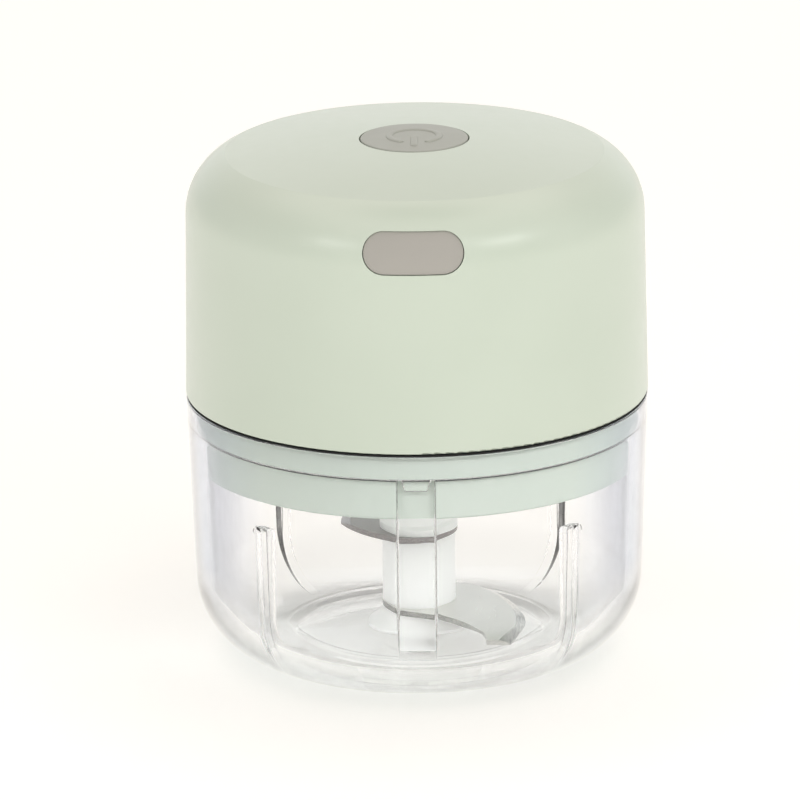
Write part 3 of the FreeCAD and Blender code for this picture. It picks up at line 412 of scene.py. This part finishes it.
def wall_rows():
    """The wall under the notch, with the rounded tops of the chopping ribs."""
    root = wall_r(31)
    rows = [wall_row(z) for z in
            (NOTCH_Z - 0.12, 39, 37.5, 36, 34.5, 33, 32, 31.4, 31.15)]
    rows += [wall_row(31.05, rib=(root - 0.08, 30.95)),
             wall_row(30.95, rib=(root - 0.25, 30.84)),
             wall_row(30.87, rib=(root - 0.55, RIB_TOP))]
    cap = arc((RIB_R + RIB_CAP, RIB_TOP - RIB_CAP), RIB_CAP, 90, 180, 7)
    rows += [wall_row(lerp(RIB_TOP, RIB_TOP - RIB_CAP, index / 7), rib=point)
             for index, point in enumerate(cap)]
    return rows + [wall_row(z, rib=(RIB_R, z))
                   for z in (28, 26.2, 24.4, 22.6, 20.8, 19, 17.6, 16.3)]


def corner_rows(steps=24):
    """The inner corner, over which the chopping ribs run out in an arc of their own."""
    low, high = Vector((RIB_FOOT_R, FLOOR_Z + FLOOR_STEP)), Vector((RIB_R, WALL_LOW_Z))
    chord = high - low
    reach = math.sqrt(RIB_CORNER ** 2 - chord.length_squared / 4)
    middle = (low + high) / 2 + Vector((-chord.y, chord.x)).normalized() * reach
    first = math.atan2(high.y - middle.y, high.x - middle.x)
    last = math.atan2(low.y - middle.y, low.x - middle.x)
    joined = math.acos((RIB_FOOT_R - WALL_LOW + CORNER) / CORNER) / (math.pi / 2)
    rows = []
    for part in (index / steps for index in range(steps + 1)):
        r = WALL_LOW - CORNER + CORNER * math.cos(part * math.pi / 2)
        z = WALL_LOW_Z - CORNER * math.sin(part * math.pi / 2)
        rib = (r, z)
        if part < joined:
            turn = lerp(first, last, part / joined)
            rib = (middle.x + RIB_CORNER * math.cos(turn),
                   middle.y + RIB_CORNER * math.sin(turn))
        key = (min(key_r(z), r), z)
        rows.append(row(r, z, key=key, rib=rib, notch=key))
    return rows


def floor_rows(steps=14):
    """The floor: a soft bead round it, and the boss and bore in its middle."""
    edge = WALL_LOW - CORNER
    rows = []
    for part in (index / steps for index in range(1, steps + 1)):
        step = FLOOR_STEP * (0.5 + 0.5 * math.cos(math.pi * part))
        bead = BEAD_RISE * math.sin(math.pi * part) ** 2
        rows.append(row(lerp(edge, edge - FLOOR_BEAD, part), FLOOR_Z + step + bead))
    rows += [row(r, FLOOR_Z) for r in (21, 16, 11, 7, BOSS_R + 0.8)]
    return rows + plain_rows([
        (BOSS_R + 0.25, FLOOR_Z + 0.12), (BOSS_R + 0.05, BOSS_Z - 0.15),
        (BOSS_R - 0.12, BOSS_Z), (PIN_R + 0.1, BOSS_Z), (PIN_R, BOSS_Z - 0.1),
        (PIN_R, PIN_Z), (0, PIN_Z)])


# Half of a rib's cross-section: how far to the side, and how much of the rib is there.
KEY_ENDS = [(KEY_HALF + 0.4, 0.0), (KEY_HALF + 0.18, 0.04), (KEY_HALF + 0.05, 0.14),
            (KEY_HALF, 0.3), (KEY_HALF, 0.84), (KEY_HALF - 0.04, 0.94),
            (KEY_HALF - 0.12, 0.985), (KEY_HALF - 0.25, 1.0)]
RIB_ENDS = [(RIB_HALF + 0.4, 0.0), (RIB_HALF + 0.18, 0.03), (RIB_HALF + 0.05, 0.1),
            (RIB_HALF, 0.22), (RIB_HALF, 0.84), (RIB_HALF - 0.06, 0.93),
            (RIB_HALF - 0.18, 0.985), (RIB_HALF - 0.36, 1.0)]
NOTCH_EDGE = [(0.16, "key"), (0.03, "key"), (0.0, "notch"), (-0.14, "notch")]


def fixed(width):
    """A distance to the side that is the same at every height."""
    return lambda z: width


def notch_side(sign, out):
    """A distance to the side that keeps to an edge of the notch."""
    def side(z):
        part = min(max((z - NOTCH_Z) / (LEDGE_Z - NOTCH_Z), 0), 1)
        return sign * (lerp(NOTCH_LOW, NOTCH_TOP, part) + out)
    return side


def both_sides(ends, kind, middle=()):
    """A whole cross-section, from its left side to its right."""
    left = [(fixed(-width), kind, part) for width, part in ends]
    right = [(fixed(width), kind, part) for width, part in reversed(ends)]
    return left + list(middle) + right


def notch_columns():
    """The notch's sides and floor, across the front locating rib."""
    left = [(notch_side(-1, out), kind, 1.0) for out, kind in NOTCH_EDGE]
    right = [(notch_side(1, out), kind, 1.0) for out, kind in reversed(NOTCH_EDGE)]
    return left + [(fixed(0.0), "notch", 1.0)] + right


# ---------------------------------------------------------------- meshes
def lathe_columns(features, step):
    """The columns of a lathe: two places each, with their weights, and what they follow."""
    columns = []
    for index, (angle, section) in enumerate(features):
        for side, kind, part in section:
            columns.append([(angle, side, 1.0), (angle, side, 0.0), kind, part])
        following, after = features[(index + 1) % len(features)]
        if index == len(features) - 1:
            following += 360.0
        last, first = (angle, section[-1][0]), (following, after[0][0])
        count = int((following - angle) / step)
        for k in range(1, count):
            columns.append([(*last, 1 - k / count), (*first, k / count), "wall", 0.0])
    return columns


def lathe(name, rows, features, step=2.0, hub=20.0):
    """A turned mesh with ribs and slots.

    features is a list of (angle, columns); a column is (side, kind, part): how far it
    stands to the side at a height, the kind of section it follows, and how much of it.
    Inside the radius hub, the columns run straight to the middle.
    """
    columns = lathe_columns(features, step)
    total = len(columns)
    verts, rings, faces = [], [], []
    for each in rows:
        wall = each["wall"]
        if wall[0] == 0:
            verts.append(Vector((0, 0, wall[1])))
            rings.append([len(verts) - 1] * total)
            continue
        for near, far, kind, part in columns:
            other = each.get(kind, wall)
            r, z = lerp(wall[0], other[0], part), lerp(wall[1], other[1], part)
            turn = sum(weight * (math.radians(angle) + math.asin(side(z) / max(r, hub)))
                       for angle, side, weight in (near, far) if weight)
            verts.append(Vector((r * math.cos(turn), r * math.sin(turn), z)))
        rings.append(list(range(len(verts) - total, len(verts))))
    if rings[0][0] != rings[0][1]:
        rings.append(rings[0])
    for low, high in zip(rings, rings[1:]):
        for k in range(total):
            following = (k + 1) % total
            corner = dict.fromkeys((low[k], low[following], high[following], high[k]))
            if len(corner) > 2:
                faces.append(list(corner))
    return solid(name, verts, faces)


def solid(name, verts, faces):
    """A smooth closed mesh from points in millimetres."""
    mesh = bpy.data.meshes.new(name)
    mesh.from_pydata([Vector(v) * MM for v in verts], [], faces)
    work = bmesh.new()
    work.from_mesh(mesh)
    bmesh.ops.remove_doubles(work, verts=work.verts, dist=1e-7)
    bmesh.ops.recalc_face_normals(work, faces=work.faces)
    for face in work.faces:
        face.smooth = True
    work.to_mesh(mesh)
    work.free()
    made = bpy.data.objects.new(name, mesh)
    bpy.context.collection.objects.link(made)
    return made


def finish_piece(piece, body, slot, *stands_for, weighted=True):
    """Gives a piece its look and its body, and hides the CAD nodes that it stands for."""
    piece.data.materials.append(looks[slot])
    if weighted:
        piece.modifiers.new("weighted", "WEIGHTED_NORMAL").keep_sharp = True
    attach(piece, body)
    if stands_for:
        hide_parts(*stands_for)


# ---------------------------------------------------------------- bowl
bowl_rows = (outside_rows() + rim_rows() + notch_rows() + wall_rows() + corner_rows()
             + floor_rows())
bowl = lathe("bowl_clear", bowl_rows, [
    (-135, both_sides(RIB_ENDS, "rib")),
    (-90, both_sides(KEY_ENDS, "key", notch_columns())),
    (-45, both_sides(RIB_ENDS, "rib")),
    (45, both_sides(RIB_ENDS, "rib")),
    (90, both_sides(KEY_ENDS, "key")),
    (135, both_sides(RIB_ENDS, "rib"))])
finish_piece(bowl, "bowl", "clear_bowl", "bowl")

# ---------------------------------------------------------------- ring of painted shade in the rim gap
shade_ring_rows = plain_rows([
    (GASKET_R, GASKET_LOW), (SHADE_RING_OUT_R - SHADE_RING_ROUND, GASKET_LOW),
    (SHADE_RING_OUT_R, GASKET_LOW + SHADE_RING_ROUND), (SHADE_RING_OUT_R, GASKET_HIGH - SHADE_RING_ROUND),
    (SHADE_RING_OUT_R - SHADE_RING_ROUND, GASKET_HIGH), (GASKET_R, GASKET_HIGH)])
finish_piece(lathe("gap_shade_ring", shade_ring_rows, [(0, [(fixed(0.0), "wall", 0.0)])]),
             "motor_unit", "gasket_dark")


# ---------------------------------------------------------------- button symbol
def button_z(x, y):
    """Height of the button's domed top."""
    return TOTAL_Z - BUTTON_CROWN * (x * x + y * y) / BUTTON_R ** 2


# A ridge's cross-section, as parts of its half width and of its height.
RIDGE = [(-1.0, -1.0), (-0.98, 0.0), (-0.86, 0.55), (-0.6, 0.9), (-0.25, 1.0),
         (0.25, 1.0), (0.6, 0.9), (0.86, 0.55), (0.98, 0.0), (1.0, -1.0)]
ROUND_END = (0.97, 0.85, 0.65, 0.4, 0.2)    # places on a ridge's round end, tip first


def ridge(path, half, rise):
    """A low rounded ridge with round ends on the button: its verts and faces."""
    start, end = (path[0] - path[1]).normalized(), (path[-1] - path[-2]).normalized()
    stations = [(path[0] + start * half * part, -start, math.sqrt(1 - part ** 2))
                for part in ROUND_END]
    for index, point in enumerate(path):
        near, far = path[max(index - 1, 0)], path[min(index + 1, len(path) - 1)]
        stations.append((point, (far - near).normalized(), 1.0))
    stations += [(path[-1] + end * half * part, end, math.sqrt(1 - part ** 2))
                 for part in reversed(ROUND_END)]
    verts, faces = [], []
    for point, way, share in stations:
        side = Vector((-way.y, way.x))
        for place, level in RIDGE:
            flat = point + side * place * half * share
            lift = rise * level * (share ** 0.5 if level > 0 else 1.0)
            verts.append((flat.x, flat.y, button_z(flat.x, flat.y) + lift))
    count = len(RIDGE)
    for k in range(len(stations) - 1):
        for j in range(count):
            a, b = k * count + j, k * count + (j + 1) % count
            faces.append((a, b, b + count, a + count))
    faces.append(tuple(range(count)))
    faces.append(tuple(reversed(range(len(verts) - count, len(verts)))))
    return verts, faces


ring_path = [Vector(point) for point in
             arc((0, 0), SYMBOL_R, -90 + SYMBOL_GAP, 270 - SYMBOL_GAP, 72)]
bar_path = [Vector((0.0, lerp(*SYMBOL_BAR, step / 12))) for step in range(13)]
for name, path in (("button_symbol_ring", ring_path), ("button_symbol_bar", bar_path)):
    finish_piece(solid(name, *ridge(path, SYMBOL_LINE, SYMBOL_RISE)), "power_button",
                 "grey_button", weighted=False)

# ---------------------------------------------------------------- floor
FLOOR_HALF, FLOOR_DROP = 4.0, 0.00002       # in metres
floor_mesh = bpy.data.meshes.new("studio_floor")
floor_mesh.from_pydata(
    [(-FLOOR_HALF, -FLOOR_HALF, 0), (FLOOR_HALF, -FLOOR_HALF, 0),
     (FLOOR_HALF, FLOOR_HALF, 0), (-FLOOR_HALF, FLOOR_HALF, 0)], [], [(0, 1, 2, 3)])
floor = bpy.data.objects.new("studio_floor", floor_mesh)
bpy.context.collection.objects.link(floor)
floor.location.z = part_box("bowl")[0].z - FLOOR_DROP
floor_look, n = material("studio_floor_look")
n.finish(n.add("ShaderNodeBsdfPrincipled", {
    "Base Color": n.ramp(n.noise(3.0), (0.93, 0.93, 0.915, 1), (0.94, 0.94, 0.925, 1)),
    "Roughness": 0.9, "Specular IOR Level": 0.1,
    "Emission Color": (1.0, 0.99, 0.93, 1), "Emission Strength": 0.25}))
floor_mesh.materials.append(floor_look)

# ---------------------------------------------------------------- room
SKY_STRENGTH = 1.08                         # behind the object, near the floor
SIDE_GLOW, FRONT_GLOW = 0.42, 0.62          # the room's parts, against that
BELT_GLOW, ZENITH_GLOW = 0.62, 1.6          # halfway up, and high up
CAP_GLOW = 0.1                              # straight above, as a part of the zenith
WARM, COOL = (1.0, 0.92, 0.87, 1.0), (0.98, 0.995, 0.99, 1.0)

world = bpy.data.worlds.new("studio")
bpy.context.scene.world = world
n = Nodes(world, "ShaderNodeOutputWorld", "Generated")
across, along, up = n.add("ShaderNodeSeparateXYZ", {"Vector": n.place}).outputs
glow = n.band(n.calc("ABSOLUTE", across), 0.35, 0.95, 1.0, SIDE_GLOW, "SMOOTHSTEP")
for value, start, end, low, high in [
        (up, 0.25, 0.55, 1.0, BELT_GLOW), (up, 0.62, 0.9, 1.0, ZENITH_GLOW / BELT_GLOW),
        (up, 0.925, 0.985, 1.0, CAP_GLOW), (along, -0.9, 0.3, FRONT_GLOW, 1.0)]:
    glow = n.times(glow, n.band(value, start, end, low, high, "SMOOTHSTEP"))
tint = n.blend(n.band(up, 0.3, 0.9, shape="SMOOTHSTEP"), COOL, WARM)
n.finish(n.add("ShaderNodeBackground", {
    "Color": tint, "Strength": n.times(glow, SKY_STRENGTH)}))


# ---------------------------------------------------------------- lamps
LAMPS_AIM = (0.0, 0.0, 0.05)


def softbox(name, place, width, height, power, colour=(1, 1, 1)):
    """A rectangular studio lamp, turned to the object."""
    lamp = bpy.data.lights.new(name, "AREA")
    lamp.shape = "RECTANGLE"
    lamp.size, lamp.size_y, lamp.energy, lamp.color = width, height, power, colour
    holder = bpy.data.objects.new(name, lamp)
    bpy.context.collection.objects.link(holder)
    holder.location = place
    way = Vector(LAMPS_AIM) - Vector(place)
    holder.rotation_euler = way.to_track_quat("-Z", "Y").to_euler()


softbox("key", (0.2, -0.95, 0.7), 0.7, 0.35, 1.05, (1.0, 0.99, 0.96))
softbox("right", (0.9, -0.2, 0.5), 0.4, 0.7, 0.3, (1.0, 1.0, 0.98))
softbox("front_right", (0.66, -0.6, 0.5), 0.42, 0.16, 1.3)
softbox("front_left", (-0.6, -0.66, 0.5), 0.34, 0.16, 0.75)

# ---------------------------------------------------------------- camera
LENS, SENSOR = 380.0, 36.0                  # in millimetres
DISTANCE = 1.5                              # in metres
ELEVATION, AZIMUTH, ROLL = math.radians(16.8), math.radians(0.7), math.radians(0.68)
aim = Vector((-0.00305, 0.0, 0.04576))
back = Vector((math.sin(AZIMUTH) * math.cos(ELEVATION),
               -math.cos(AZIMUTH) * math.cos(ELEVATION), math.sin(ELEVATION)))
lens = bpy.data.cameras.new("camera")
lens.lens, lens.sensor_width = LENS, SENSOR
lens.clip_start, lens.clip_end = 0.1, 20.0
camera = bpy.data.objects.new("camera", lens)
bpy.context.collection.objects.link(camera)
camera.location = aim + back * DISTANCE
turn = (-back).to_track_quat("-Z", "Y").to_matrix() @ Matrix.Rotation(-ROLL, 3, "Z")
camera.rotation_euler = turn.to_euler()
bpy.context.scene.camera = camera

bpy.context.scene.view_settings.view_transform = "Standard"
bpy.context.scene.view_settings.look = "None"
